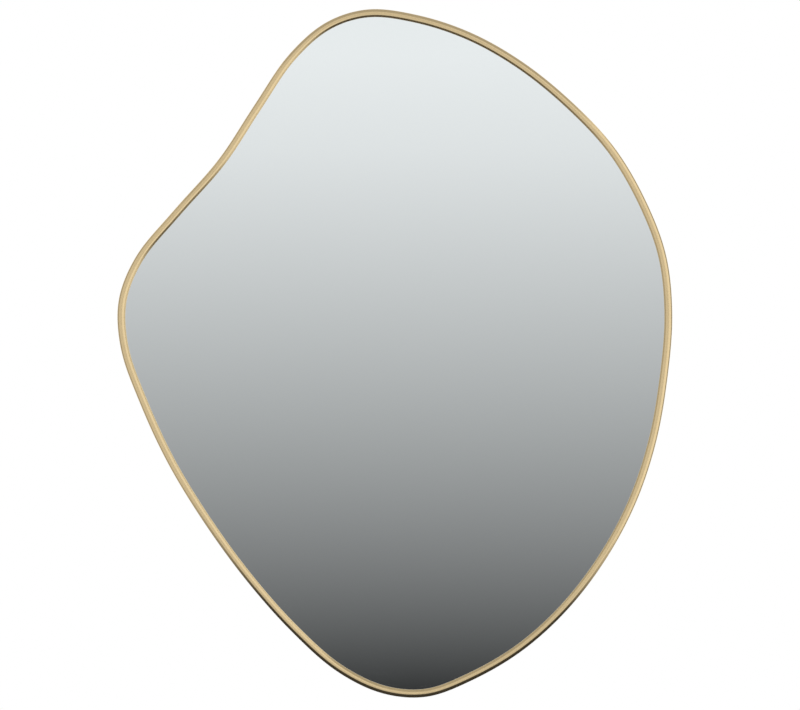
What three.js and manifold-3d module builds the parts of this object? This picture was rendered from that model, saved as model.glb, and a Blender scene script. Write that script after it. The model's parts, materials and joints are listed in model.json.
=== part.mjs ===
// An irregular, pebble-shaped wall mirror: a thin brass-coloured frame with a domed front, a float
// glass mirror pressed against the frame's inner seat, and a fibreboard back that carries two
// D-ring hangers and four screw-on rubber buffers.
//
// Millimetres. Seen from the front, +X is to the right, +Z is up and +Y points at the wall.
// The origin is on the rear face of the backboard, behind the middle of the mirror.

import * as THREE from 'three';
import { mergeVertices } from 'three/addons/utils/BufferGeometryUtils.js';
import Module from 'manifold-3d';

const wasm = await Module();
wasm.setup();

// ---------------------------------------------------------------- driving dimensions

const overallWidth = 806;
const overallHeight = 1000;

// The drawn outline, clockwise from the crown as seen from the front. It is the drawing of the
// shape alone: its width and height are brought to the overall sizes above.
const outlineDrawing = [
  [-40, 500], [32, 492], [111, 466], [188, 422], [261, 362], [320, 298], [365, 221], [394, 143],
  [403, 58], [396, -35], [379, -130], [349, -219], [306, -299], [251, -371], [185, -431],
  [112, -474], [46, -498], [-18, -493], [-84, -461], [-149, -404], [-214, -331], [-275, -248],
  [-329, -160], [-370, -72], [-398, 8], [-401, 78], [-376, 141], [-322, 207], [-256, 282],
  [-204, 361], [-154, 434], [-100, 481],
];
const stationsPerPoint = 5;

// The gap left between pieces that touch, how far a cutter runs past the face it cuts, and how
// near two corners of a surface are joined as one.
const touchGap = 0.3;
const cutPast = 1;
const weldTolerance = 1e-4;

const faceWidth = 11.5;
const crownHeight = 5.6;
const lipHeight = 1.4;
const sheetThickness = 1.2;
const seatWidth = 5;
const recessDepth = 6;
const crownSteps = 10;
const crownInnerSteps = 5;

const glassThickness = 4;
const glassEdgeClearance = 1.5;
const gasketThickness = 0.6;
const gasketSetback = 0.8;
const boardThickness = 8;
const boardEdgeClearance = 0.8;
const boardClearSquare = 240;

const foamThickness = 1.4;
const foamWidth = 25;
const foamStripCount = 5;
const foamSideMargin = 90;
const foamEdgeMargin = 30;

const screwRadius = 1.5;
const screwLength = 8;
const screwPointLength = 2;
const screwHeadRadius = 3;
const screwHeadHeight = 1.8;
const screwHeadEdge = 0.8;
const screwDomeSteps = 2;
const crossWidth = 0.8;
const crossLength = 3.4;
const crossDepth = 1;
const screwClearance = 0.3;
const screwSides = 10;

const bracketCount = 8;
const bracketWidth = 14;
const bracketReach = 17;
const bracketHeight = 4.5;
const bracketThickness = 1.2;
const bracketBendRadius = 0.8;
const bracketBendSteps = 3;
const bracketScrewDistance = 11;

const hangerSpacing = 360;
const hangerHeight = 270;
const strapWidth = 14;
const strapSheet = 1;
const strapEndMargin = 8;
const strapHeadClearance = 4;
const strapCurveSteps = 8;
const wireRadius = 1.25;
const wireClearance = 0.25;
const eyeWidth = 22;
const eyeStraight = 2;
const ringCornerRadius = 3;
const ringSplit = 0.5;
const wireSides = 8;
const wireSteps = 40;

const bufferCount = 4;
const bufferRadius = 7;
const bufferProud = 1;
const bufferClearance = 7;
const bufferWeb = 2.4;
const bufferEdgeRound = 1;
const bufferSides = 16;

// ---------------------------------------------------------------- depth stack, from the wall side

const boardRear = 0;
const boardFront = boardRear - boardThickness;
const foamRear = boardFront - touchGap;
const foamFront = foamRear - foamThickness;
const glassRear = foamFront - touchGap;
const glassFront = glassRear - glassThickness;
const gasketRear = glassFront - touchGap;
const gasketFront = gasketRear - gasketThickness;
const seatRear = gasketFront - touchGap;
const seatFront = seatRear - sheetThickness;
const crownFoot = seatRear - lipHeight;
const frameRear = boardRear + recessDepth;
const fittingFront = boardRear + touchGap;

// ---------------------------------------------------------------- materials

function finish(colour, roughness, metalness) {
  return new THREE.MeshStandardMaterial({ color: new THREE.Color(...colour), roughness, metalness });
}

const brassFinish = () => finish([0.82, 0.64, 0.365], 0.35, 1);
const silvering = () => finish([0.86, 0.88, 0.89], 0.03, 1);
const clearVinyl = () => finish([0.45, 0.45, 0.43], 0.6, 0);
const whiteFoam = () => finish([0.8, 0.8, 0.78], 0.95, 0);
const fibreboard = () => finish([0.36, 0.25, 0.15], 0.85, 0);
const zincSteel = () => finish([0.6, 0.61, 0.62], 0.38, 1);
const blackRubber = () => finish([0.03, 0.03, 0.03], 0.8, 0);

// ---------------------------------------------------------------- the outline and its offsets

const drawnOutline = new THREE.CatmullRomCurve3(
  outlineDrawing.map(([x, z]) => new THREE.Vector3(x, 0, z)), true, 'centripetal',
);
const stationCount = outlineDrawing.length * stationsPerPoint;
const drawnBox = new THREE.Box3().setFromPoints(drawnOutline.getPoints(stationCount));
const drawnCentre = drawnBox.getCenter(new THREE.Vector3());
const drawnSize = drawnBox.getSize(new THREE.Vector3());
const drawnScale = new THREE.Vector3(overallWidth / drawnSize.x, 1, overallHeight / drawnSize.z);

class MirrorOutline extends THREE.Curve {
  getPoint(t, target = new THREE.Vector3()) {
    return drawnOutline.getPoint(t, target).sub(drawnCentre).multiply(drawnScale);
  }
}

const outline = new MirrorOutline();

// The direction square to the outline, in the plane of the mirror, towards its inside.
function inwardOf(tangent) {
  return new THREE.Vector3(tangent.z, 0, -tangent.x);
}

const stations = Array.from({ length: stationCount }, (_, i) => {
  const t = i / stationCount;
  return { point: outline.getPoint(t), inward: inwardOf(outline.getTangent(t)) };
});

function insetPoint(station, inset) {
  return station.point.clone().addScaledVector(station.inward, inset);
}

// The place at a share of the outline's length.
function stationAt(share) {
  const u = share % 1;
  return { point: outline.getPointAt(u), inward: inwardOf(outline.getTangentAt(u)) };
}

// The centre of area inside the outline.
function centreOfArea() {
  const centre = new THREE.Vector3();
  let doubleArea = 0;
  stations.forEach(({ point }, i) => {
    const next = stations[(i + 1) % stationCount].point;
    const cross = point.x * next.z - next.x * point.z;
    doubleArea += cross;
    centre.addScaledVector(point.clone().add(next), cross);
  });
  return centre.divideScalar(3 * doubleArea);
}

// The lowest and highest places where the upright line at x meets the outline moved in by inset.
function heightsAt(x, inset) {
  const heights = [];
  stations.forEach((station, i) => {
    const a = insetPoint(station, inset);
    const b = insetPoint(stations[(i + 1) % stationCount], inset);
    if ((a.x - x) * (b.x - x) <= 0 && a.x !== b.x) {
      heights.push(a.z + ((b.z - a.z) * (x - a.x)) / (b.x - a.x));
    }
  });
  return [Math.min(...heights), Math.max(...heights)];
}

// ---------------------------------------------------------------- solids

function asSolid(geometry) {
  const bare = geometry.index ? geometry.toNonIndexed() : geometry.clone();
  bare.deleteAttribute('normal');
  bare.deleteAttribute('uv');
  const merged = mergeVertices(bare, weldTolerance);
  return new wasm.Manifold(new wasm.Mesh({
    numProp: 3,
    vertProperties: new Float32Array(merged.attributes.position.array),
    triVerts: new Uint32Array(merged.index.array),
  }));
}

function asGeometry(solid) {
  const mesh = solid.getMesh();
  const geometry = new THREE.BufferGeometry();
  geometry.setAttribute('position', new THREE.BufferAttribute(new Float32Array(mesh.vertProperties), 3));
  geometry.setIndex(new THREE.BufferAttribute(new Uint32Array(mesh.triVerts), 1));
  geometry.computeVertexNormals();
  return geometry;
}

function cutAll(geometry, cutters) {
  return asGeometry(cutters.reduce((solid, cutter) => solid.subtract(asSolid(cutter)), asSolid(geometry)));
}

// A closed band that follows the whole outline. Its section is a list of [inset, y] corners, in
// order round the section.
function outlineBand(section) {
  const positions = [];
  const index = [];
  const corners = section.length;
  stations.forEach((station, i) => {
    section.forEach(([inset, y], j) => {
      const place = insetPoint(station, inset);
      positions.push(place.x, y, place.z);
      const nextStation = ((i + 1) % stationCount) * corners;
      const nextCorner = (j + 1) % corners;
      const a = i * corners + j;
      const b = nextStation + j;
      const c = nextStation + nextCorner;
      const d = i * corners + nextCorner;
      index.push(a, c, b, a, d, c);
    });
  });
  const geometry = new THREE.BufferGeometry();
  geometry.setAttribute('position', new THREE.Float32BufferAttribute(positions, 3));
  geometry.setIndex(index);
  geometry.computeVertexNormals();
  return geometry;
}

// The outline moved in by inset, as places in x and z, anticlockwise as seen from the front.
function edgeLoop(inset) {
  return stations.map((station) => {
    const place = insetPoint(station, inset);
    return new THREE.Vector2(place.x, place.z);
  }).reverse();
}

// A flat pane with the outline moved in by inset, from its rear face forward by its thickness.
function pane(inset, rear, thickness) {
  const geometry = new THREE.ExtrudeGeometry(new THREE.Shape(edgeLoop(inset)), {
    depth: thickness, bevelEnabled: false, steps: 1,
  });
  geometry.rotateX(Math.PI / 2);
  geometry.translate(0, rear, 0);
  return geometry;
}

// A round cutter along Y.
function holeCutter(radius, fromY, toY, x) {
  const cutter = new THREE.CylinderGeometry(radius, radius, toY - fromY, screwSides);
  cutter.translate(x, (fromY + toY) / 2, 0);
  return cutter;
}

// An outline in x and y, pushed along z by width and centred on it.
function extrudedAcross(shape, width, curveSegments) {
  const geometry = new THREE.ExtrudeGeometry(shape, {
    depth: width, bevelEnabled: false, steps: 1, curveSegments,
  });
  geometry.translate(0, 0, -width / 2);
  return geometry;
}

const mirror = new THREE.Group();

function addPiece(name, geometry, material, x = 0, y = 0, z = 0, turn = 0) {
  const piece = new THREE.Mesh(geometry, material);
  piece.name = name;
  piece.position.set(x, y, z);
  piece.rotation.y = turn;
  mirror.add(piece);
  return piece;
}

// ---------------------------------------------------------------- frame

// Half an ellipse from the outer side of the band to its inner side, bulging forward.
function crownArc(margin, steps) {
  const halfWidth = faceWidth / 2 - margin;
  const height = crownHeight - margin;
  return Array.from({ length: steps + 1 }, (_, i) => {
    const angle = (Math.PI * i) / steps;
    return [faceWidth / 2 - halfWidth * Math.cos(angle), crownFoot - height * Math.sin(angle)];
  });
}

// Bent sheet: a deep outer wall, a domed front, and a short inner lip that turns back outward as
// a flat seat for the glass.
function frameSection() {
  return [
    [0, frameRear],
    ...crownArc(0, crownSteps),
    [faceWidth, seatRear],
    [faceWidth - seatWidth, seatRear],
    [faceWidth - seatWidth, seatFront],
    [faceWidth - sheetThickness, seatFront],
    ...crownArc(sheetThickness, crownInnerSteps).reverse(),
    [sheetThickness, frameRear],
  ];
}

addPiece('mirror_frame', outlineBand(frameSection()), brassFinish());

// ---------------------------------------------------------------- seat gasket, glass, foam

const gasketInner = faceWidth - gasketSetback;
const gasketOuter = faceWidth - seatWidth + gasketSetback;
const gasketSection = [
  [gasketOuter, gasketRear],
  [gasketOuter, gasketFront],
  [gasketInner, gasketFront],
  [gasketInner, gasketRear],
];

addPiece('seat_gasket', outlineBand(gasketSection), clearVinyl());

const glassInset = sheetThickness + glassEdgeClearance;
addPiece('mirror_glass', pane(glassInset, glassRear, glassThickness), silvering());

// Upright foam strips between the glass and the backboard, spread evenly about the centre line. The
// outermost two are the side margin from the frame's face to their middles.
const outerStripX = overallWidth / 2 - faceWidth - foamSideMargin;

for (let i = 0; i < foamStripCount; i += 1) {
  const x = outerStripX * ((2 * i) / (foamStripCount - 1) - 1);
  const edges = [x - foamWidth / 2, x + foamWidth / 2];
  const spans = edges.map((edge) => heightsAt(edge, faceWidth + foamEdgeMargin));
  const low = Math.max(...spans.map(([bottom]) => bottom));
  const high = Math.min(...spans.map(([, top]) => top));
  addPiece(
    `foam_strip_${i + 1}`,
    new THREE.BoxGeometry(foamWidth, foamThickness, high - low),
    whiteFoam(), x, foamRear - foamThickness / 2, (low + high) / 2,
  );
}

// ---------------------------------------------------------------- screws

// A pan-head screw with a cross recess. Its origin is under the head and its point is at -Y.
function screwGeometry() {
  const dome = Array.from({ length: screwDomeSteps }, (_, i) => {
    const angle = (i * Math.PI) / 2 / screwDomeSteps;
    const rise = (screwHeadHeight - screwHeadEdge) * Math.sin(angle);
    return [screwHeadRadius * Math.cos(angle), screwHeadEdge + rise];
  });
  const profile = [
    [0, -screwLength],
    [screwRadius, screwPointLength - screwLength],
    [screwRadius, 0],
    [screwHeadRadius, 0],
    ...dome,
    [0, screwHeadHeight],
  ];
  const body = new THREE.LatheGeometry(profile.map(([r, y]) => new THREE.Vector2(r, y)), screwSides);
  const slotHeight = 2 * crossDepth;
  const slots = [new THREE.BoxGeometry(crossLength, slotHeight, crossWidth),
    new THREE.BoxGeometry(crossWidth, slotHeight, crossLength)];
  slots.forEach((slot) => slot.translate(0, screwHeadHeight, 0));
  return cutAll(body, slots);
}

const screw = screwGeometry();
const boardHoles = [];

// A screw whose head bears, across the usual gap, on a face at the depth bearingY.
function addScrew(name, x, bearingY, z) {
  const underHead = bearingY + touchGap;
  addPiece(name, screw, zincSteel(), x, underHead, z);
  boardHoles.push({ x, z, floor: underHead - screwLength - touchGap });
}

// ---------------------------------------------------------------- frame brackets

// An angle of sheet steel, in x (inward from the frame's wall) and y.
function bracketGeometry() {
  const outerBend = bracketBendRadius + bracketThickness;
  const shape = new THREE.Shape();
  shape.moveTo(outerBend, 0);
  shape.lineTo(bracketReach, 0);
  shape.lineTo(bracketReach, bracketThickness);
  shape.lineTo(outerBend, bracketThickness);
  shape.absarc(outerBend, outerBend, bracketBendRadius, -Math.PI / 2, -Math.PI, true);
  shape.lineTo(bracketThickness, bracketHeight);
  shape.lineTo(0, bracketHeight);
  shape.lineTo(0, outerBend);
  shape.absarc(outerBend, outerBend, outerBend, Math.PI, 1.5 * Math.PI, false);
  const hole = holeCutter(
    screwRadius + screwClearance, -cutPast, bracketThickness + cutPast, bracketScrewDistance,
  );
  return cutAll(extrudedAcross(shape, bracketWidth, bracketBendSteps), [hole]);
}

const bracket = bracketGeometry();

// A place on the frame's inner wall at a share of the outline's length. Its wallInset is where a
// flat piece of the given width clears the curve of that wall.
function wallPlace(share, width) {
  const station = stationAt(share);
  const halfShare = width / 2 / outline.getLength();
  const stands = [-1, -0.5, 0, 0.5, 1].map((side) => {
    const nearby = stationAt(share + 1 + side * halfShare);
    return insetPoint(nearby, sheetThickness).sub(station.point).dot(station.inward);
  });
  return { ...station, wallInset: Math.max(...stands) };
}

for (let i = 0; i < bracketCount; i += 1) {
  const place = wallPlace((i + 0.5) / bracketCount, bracketWidth);
  const legInset = place.wallInset + touchGap;
  const foot = insetPoint(place, legInset);
  const turn = Math.atan2(-place.inward.z, place.inward.x);
  addPiece(`frame_bracket_${i + 1}`, bracket, zincSteel(), foot.x, fittingFront, foot.z, turn);
  const hole = insetPoint(place, legInset + bracketScrewDistance);
  addScrew(`bracket_screw_${i + 1}`, hole.x, fittingFront + bracketThickness, hole.z);
}

// ---------------------------------------------------------------- D-ring hangers

// The strap is one strip of sheet folded round the ring's bar, with its two layers screwed down.
const barrelRadius = wireRadius + wireClearance + strapSheet;
const barrelDepth = fittingFront + barrelRadius;
const strapThickness = 2 * strapSheet;
const ringHalfWidth = eyeWidth / 2 + wireRadius;
const bowStart = ringCornerRadius + eyeStraight;
const ringReach = bowStart + ringHalfWidth;
const strapScrewDistances = [
  barrelRadius + screwHeadRadius + strapHeadClearance,
  ringReach + wireRadius + screwHeadRadius + strapHeadClearance,
];
const strapLength = strapScrewDistances[1] + strapEndMargin;

// The ring stands up from its bar and leans on the backboard, a touching gap short of it.
const ringLean = Math.asin((barrelDepth - wireRadius - touchGap) / ringReach);

// Side view of the folded strap: x runs down from the bar, y is the depth from the bar's axis.
function foldedStrapShape() {
  const front = -barrelRadius;
  const rear = front + strapThickness;
  const shape = new THREE.Shape();
  shape.moveTo(strapLength, front);
  shape.lineTo(strapLength, rear);
  shape.lineTo(Math.sqrt(barrelRadius ** 2 - rear ** 2), rear);
  shape.absarc(0, 0, barrelRadius, Math.asin(rear / barrelRadius), 1.5 * Math.PI, false);
  shape.closePath();
  const bore = new THREE.Path();
  bore.absarc(0, 0, wireRadius + wireClearance, 0, 2 * Math.PI, true);
  shape.holes.push(bore);
  return shape;
}

// Front view of the strap, with a round lower end, thick enough to keep the barrel whole.
function strapPlanGeometry() {
  const half = strapWidth / 2;
  const plan = new THREE.Shape();
  plan.moveTo(-barrelRadius - cutPast, -half);
  plan.lineTo(strapLength - half, -half);
  plan.absarc(strapLength - half, 0, half, -Math.PI / 2, Math.PI / 2, false);
  plan.lineTo(-barrelRadius - cutPast, half);
  plan.closePath();
  const geometry = extrudedAcross(plan, 2 * barrelRadius + 2 * cutPast, strapCurveSteps);
  geometry.rotateX(Math.PI / 2);
  return geometry;
}

function strapGeometry() {
  const folded = asSolid(extrudedAcross(foldedStrapShape(), strapWidth + cutPast, strapCurveSteps));
  const trimmed = asGeometry(folded.intersect(asSolid(strapPlanGeometry())));
  const holes = strapScrewDistances.map(
    (distance) => holeCutter(
      screwRadius + screwClearance, -barrelRadius - cutPast, strapThickness, distance,
    ),
  );
  return cutAll(trimmed, holes);
}

// The middle of the ring's wire. Its two ends meet, a split apart, inside the strap's barrel.
function ringOutline() {
  const path = new THREE.Path();
  path.moveTo(ringSplit / 2, 0);
  path.lineTo(ringHalfWidth - ringCornerRadius, 0);
  path.absarc(
    ringHalfWidth - ringCornerRadius, ringCornerRadius, ringCornerRadius, -Math.PI / 2, 0, false,
  );
  path.lineTo(ringHalfWidth, bowStart);
  path.absarc(0, bowStart, ringHalfWidth, 0, Math.PI, false);
  path.lineTo(-ringHalfWidth, ringCornerRadius);
  path.absarc(
    ringCornerRadius - ringHalfWidth, ringCornerRadius, ringCornerRadius, Math.PI, 1.5 * Math.PI, false,
  );
  path.lineTo(-ringSplit / 2, 0);
  return path;
}

class UprightCurve extends THREE.Curve {
  constructor(path) {
    super();
    this.path = path;
  }

  getPoint(t, target = new THREE.Vector3()) {
    const place = this.path.getPoint(t);
    return target.set(place.x, 0, place.y);
  }
}

function ringGeometry() {
  const section = Array.from({ length: wireSides }, (_, i) => {
    const angle = (2 * Math.PI * i) / wireSides;
    return new THREE.Vector2(wireRadius * Math.cos(angle), wireRadius * Math.sin(angle));
  });
  const geometry = new THREE.ExtrudeGeometry(new THREE.Shape(section), {
    steps: wireSteps, extrudePath: new UprightCurve(ringOutline()),
  });
  geometry.rotateX(ringLean);
  return geometry;
}

const strap = strapGeometry();
const ring = ringGeometry();
const hangerCentre = centreOfArea().x;

// Left and right are as seen from the front.
[['left', -1], ['right', 1]].forEach(([side, sign]) => {
  const x = hangerCentre + (sign * hangerSpacing) / 2;
  addPiece(`hanger_${side}_strap`, strap, zincSteel(), x, barrelDepth, hangerHeight, Math.PI / 2);
  addPiece(`hanger_${side}_ring`, ring, zincSteel(), x, barrelDepth, hangerHeight);
  strapScrewDistances.forEach((distance, i) => {
    addScrew(`hanger_${side}_screw_${i + 1}`, x, fittingFront + strapThickness, hangerHeight - distance);
  });
});

// ---------------------------------------------------------------- rubber buffers

const bufferHeight = frameRear + bufferProud - fittingFront;

// A round rubber foot with a sunk seat for its screw. Its origin is on the face that is screwed
// against the backboard.
function bufferGeometry() {
  const bore = screwRadius + screwClearance;
  const seat = screwHeadRadius + screwClearance;
  const profile = [
    [bore, 0],
    [bufferRadius, 0],
    [bufferRadius, bufferHeight - bufferEdgeRound],
    [bufferRadius - bufferEdgeRound, bufferHeight],
    [seat, bufferHeight],
    [seat, bufferWeb],
    [bore, bufferWeb],
    [bore, 0],
  ];
  return new THREE.LatheGeometry(profile.map(([r, y]) => new THREE.Vector2(r, y)), bufferSides);
}

const buffer = bufferGeometry();

// The buffers stand just inside the ring of brackets, evenly spread along the outline.
const bufferInset = sheetThickness + bracketReach + bufferClearance + bufferRadius;

for (let i = 0; i < bufferCount; i += 1) {
  const place = insetPoint(stationAt((i + 0.5) / bufferCount), bufferInset);
  addPiece(`wall_buffer_${i + 1}`, buffer, blackRubber(), place.x, fittingFront, place.z);
  addScrew(`buffer_screw_${i + 1}`, place.x, fittingFront + bufferWeb, place.z);
}

// ---------------------------------------------------------------- backboard

// A blind hole's edge, as places in x and z, anticlockwise as seen from the front.
function holeLoop({ x, z }) {
  return Array.from({ length: screwSides }, (_, i) => {
    const angle = (2 * Math.PI * i) / screwSides;
    const radius = screwRadius + screwClearance;
    return new THREE.Vector2(x + radius * Math.cos(angle), z + radius * Math.sin(angle));
  });
}

// The board is one closed surface. Its rear face is made in two parts, so that the square in its
// middle, to which nothing is screwed, is a face of its own.
function backboardGeometry() {
  const positions = [];

  function addFace(loop, openings, y, facesWall) {
    const places = [loop, ...openings].flat();
    THREE.ShapeUtils.triangulateShape(loop, openings).forEach((triangle) => {
      const order = facesWall ? triangle.toReversed() : triangle;
      order.forEach((k) => positions.push(places[k].x, y, places[k].y));
    });
  }

  // The wall along a loop, facing to the right of the way the loop runs as seen from the front.
  function addWall(loop, frontY, rearY) {
    loop.forEach((a, i) => {
      const b = loop[(i + 1) % loop.length];
      positions.push(a.x, frontY, a.y, b.x, rearY, b.y, b.x, frontY, b.y);
      positions.push(a.x, frontY, a.y, a.x, rearY, a.y, b.x, rearY, b.y);
    });
  }

  const edge = edgeLoop(sheetThickness + boardEdgeClearance);
  const half = boardClearSquare / 2;
  const square = [[-half, -half], [half, -half], [half, half], [-half, half]]
    .map(([x, z]) => new THREE.Vector2(x, z));
  addFace(edge, [square, ...boardHoles.map(holeLoop)], boardRear, true);
  addFace(square, [], boardRear, true);
  addFace(edge, [], boardFront, false);
  addWall(edge, boardFront, boardRear);
  boardHoles.forEach((hole) => {
    addFace(holeLoop(hole), [], hole.floor, true);
    addWall(holeLoop(hole).reverse(), hole.floor, boardRear);
  });
  const geometry = new THREE.BufferGeometry();
  geometry.setAttribute('position', new THREE.Float32BufferAttribute(positions, 3));
  geometry.computeVertexNormals();
  return geometry;
}

addPiece('backboard', backboardGeometry(), fibreboard());

export default mirror;
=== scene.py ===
"""A pebble-shaped wall mirror in a brushed, brass-coloured frame, dressed piece by piece over its solids."""

import json
import math

import bmesh
import bpy
import numpy as np
from bpy.props import FloatProperty, FloatVectorProperty, IntProperty, PointerProperty
from mathutils import Matrix, Vector


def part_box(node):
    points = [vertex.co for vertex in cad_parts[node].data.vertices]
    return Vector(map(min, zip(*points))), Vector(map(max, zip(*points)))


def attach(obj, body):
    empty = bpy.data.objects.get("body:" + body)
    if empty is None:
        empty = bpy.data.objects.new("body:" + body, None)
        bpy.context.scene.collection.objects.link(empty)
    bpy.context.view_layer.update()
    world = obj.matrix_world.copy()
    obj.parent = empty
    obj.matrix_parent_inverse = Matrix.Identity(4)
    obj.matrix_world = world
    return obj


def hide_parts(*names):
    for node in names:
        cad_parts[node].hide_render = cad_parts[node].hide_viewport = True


bl_info = {
    "name": "Pebble Wall Mirror",
    "version": (1, 0, 0),
    "blender": (4, 5, 0),
    "location": "View3D > Sidebar > Mirror",
    "description": "Builds the visible pieces, finishes and studio of a pebble-shaped wall mirror",
    "category": "Add Mesh",
}

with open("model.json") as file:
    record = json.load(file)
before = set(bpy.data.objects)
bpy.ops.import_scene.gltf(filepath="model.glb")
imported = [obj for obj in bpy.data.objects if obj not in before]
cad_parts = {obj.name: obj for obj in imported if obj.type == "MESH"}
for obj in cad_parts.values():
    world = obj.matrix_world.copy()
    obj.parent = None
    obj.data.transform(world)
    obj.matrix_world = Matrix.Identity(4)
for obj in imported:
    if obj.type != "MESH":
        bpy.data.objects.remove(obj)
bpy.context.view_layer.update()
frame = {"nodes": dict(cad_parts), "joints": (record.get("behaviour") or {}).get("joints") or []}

MM = 0.001
FRAME_LOW, FRAME_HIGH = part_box("mirror_frame")
GLASS_LOW, GLASS_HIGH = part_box("mirror_glass")
GLASS_INSET = GLASS_LOW.x - FRAME_LOW.x
HANGERS = ("left", "right")


# ------------------------------------------------------------------ sizes and colours


def length(label, text, millimetres):
    return FloatProperty(
        name=label, description=text, default=millimetres * MM, min=0.0, unit="LENGTH", precision=5
    )


def colour(label, text, value):
    return FloatVectorProperty(
        name=label, description=text, default=value, min=0.0, max=1.0, size=3, subtype="COLOR"
    )


class MirrorSizes(bpy.types.PropertyGroup):
    """Sizes of the pieces that their solids don't give"""

    face_width: length("Face width", "Width of the frame's domed face", 11.5)
    crown_height: length("Crown height", "How far the domed face bulges forward", 5.6)
    inner_slope: length("Inner slope", "Width of the sloped inner side of the domed face", 2.2)
    slope_fall: length("Slope fall", "How far the sloped inner side falls towards the glass", 2.35)
    sheet: length("Sheet", "Thickness of the frame's bent sheet", 1.2)
    seat_width: length("Seat width", "Width of the flat seat under the glass", 5.0)
    edge_round: length("Edge rounding", "Rounding of the frame's sheet edges", 0.3)
    glass_arris: length("Glass arris", "Ground edge round the glass", 0.5)
    board_arris: length("Board arris", "Sanded edge round the backboard", 0.4)
    screw_hole: length("Screw hole", "Radius of the holes for the screws", 1.8)
    bend_radius: length("Bend radius", "Inner radius of the brackets' bend", 0.8)
    strap_sheet: length("Strap sheet", "Thickness of one layer of the folded straps", 1.0)
    wire_play: length("Wire play", "Clearance between a ring's bar and its strap", 0.25)
    stations: IntProperty(
        name="Stations", description="Places along the outline", default=960, min=120, max=2000
    )


class MirrorFinishes(bpy.types.PropertyGroup):
    """Colours and roughness of the finishes"""

    brass: colour("Brass", "Brushed brass-coloured face of the frame", (0.82, 0.64, 0.365))
    brass_roughness: FloatProperty(
        name="Brass roughness", description="Roughness of the brushed face",
        default=0.19, min=0.0, max=1.0, subtype="FACTOR",
    )
    silver: colour("Silvering", "Tint of the reflection in the glass", (0.888, 0.932, 0.94))
    glass_edge: colour("Glass edge", "Green edge of the float glass", (0.18, 0.36, 0.3))
    backing_paint: colour("Backing paint", "Paint over the silver layer", (0.27, 0.28, 0.29))
    vinyl: colour("Vinyl", "Clear vinyl strip under the glass", (0.6, 0.6, 0.57))
    foam: colour("Foam", "Foam strips behind the glass", (0.85, 0.85, 0.83))
    board: colour("Fibreboard", "Raw fibreboard", (0.5, 0.37, 0.25))
    zinc: colour("Zinc", "Zinc plating", (0.72, 0.73, 0.74))
    rubber: colour("Rubber", "Moulded rubber", (0.035, 0.035, 0.036))


class StudioSettings(bpy.types.PropertyGroup):
    """The camera and the light"""

    distance: FloatProperty(
        name="Camera distance", description="From the camera to the wall side of the mirror",
        default=16.0, min=1.0, unit="LENGTH",
    )
    seen_width: FloatProperty(
        name="Width in view", description="Width of the picture at the frame's face",
        default=1.1618, min=0.1, unit="LENGTH",
    )
    camera_x: FloatProperty(
        name="Camera to the right", description="Camera's place across", default=0.00746, unit="LENGTH"
    )
    camera_z: FloatProperty(
        name="Camera height", description="Camera's height over the middle", default=-0.0024, unit="LENGTH"
    )
    floor_drop: FloatProperty(
        name="Floor", description="Depth of the floor below the middle of the mirror",
        default=0.9, min=0.5, unit="LENGTH",
    )


# ------------------------------------------------------------------ the outline


def glass_corners():
    """The corners of the glass in the plane of the mirror, in order round it."""
    corners = {(round(v.co.x, 6), round(v.co.z, 6)) for v in frame["nodes"]["mirror_glass"].data.vertices}
    return np.array(sorted(corners, key=lambda c: math.atan2(c[1], c[0])))


def directions(points):
    """Unit vectors square to a closed line, towards its outside."""
    along = np.roll(points, -1, 0) - np.roll(points, 1, 0)
    along /= np.linalg.norm(along, axis=1)[:, None]
    return np.stack([along[:, 1], -along[:, 0]], 1)


def running_length(points):
    """How far along a closed line each place is, with the whole length at the end."""
    steps = np.linalg.norm(np.roll(points, -1, 0) - points, axis=1)
    return np.concatenate([[0], np.cumsum(steps)])


def spread_evenly(points, count, between=16):
    """A closed line through the points, with count places at equal steps along it."""
    before, after, later = np.roll(points, 1, 0), np.roll(points, -1, 0), np.roll(points, -2, 0)
    fine = []
    for t in np.linspace(0, 1, between, endpoint=False):
        fine.append(
            0.5
            * (
                2 * points
                + (after - before) * t
                + (2 * before - 5 * points + 4 * after - later) * t**2
                + (3 * points - before - 3 * after + later) * t**3
            )
        )
    line = np.stack(fine, 1).reshape(-1, 2)
    run = running_length(line)
    closed = np.vstack([line, line[:1]])
    places = np.linspace(0, run[-1], count, endpoint=False)
    return np.stack([np.interp(places, run, closed[:, i]) for i in range(2)], 1)


def smoothed(values, reach=2):
    """Rows of a closed line, each averaged with its neighbours."""
    steps = np.arange(-3 * reach, 3 * reach + 1)
    weights = np.exp(-0.5 * (steps / reach) ** 2)
    weights /= weights.sum()
    return sum(w * np.roll(values, s, 0) for s, w in zip(steps, weights))


class Outline:
    """The mirror's outer line: places round it, and the way inward at each."""

    def __init__(self, stations):
        glass = glass_corners()
        points = smoothed(spread_evenly(glass + directions(glass) * GLASS_INSET, stations))
        low = np.array([FRAME_LOW.x, FRAME_LOW.z])
        high = np.array([FRAME_HIGH.x, FRAME_HIGH.z])
        span = points.max(0) - points.min(0)
        self.points = low + (points - points.min(0)) * (high - low) / span
        self.inward = -smoothed(directions(self.points))
        self.inward /= np.linalg.norm(self.inward, axis=1)[:, None]
        self.run = running_length(self.points)

    def inset(self, distance):
        return self.points + self.inward * distance

    def inward_at(self, x, z):
        nearest = np.argmin(((self.points - np.array([x, z])) ** 2).sum(1))
        return self.inward[nearest]


# ------------------------------------------------------------------ mesh building


def mesh_object(name, vertices, faces):
    mesh = bpy.data.meshes.new(name)
    mesh.from_pydata([tuple(v) for v in vertices], [], faces)
    mesh.update()
    piece = bpy.data.objects.new(name, mesh)
    bpy.context.scene.collection.objects.link(piece)
    return piece


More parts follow.
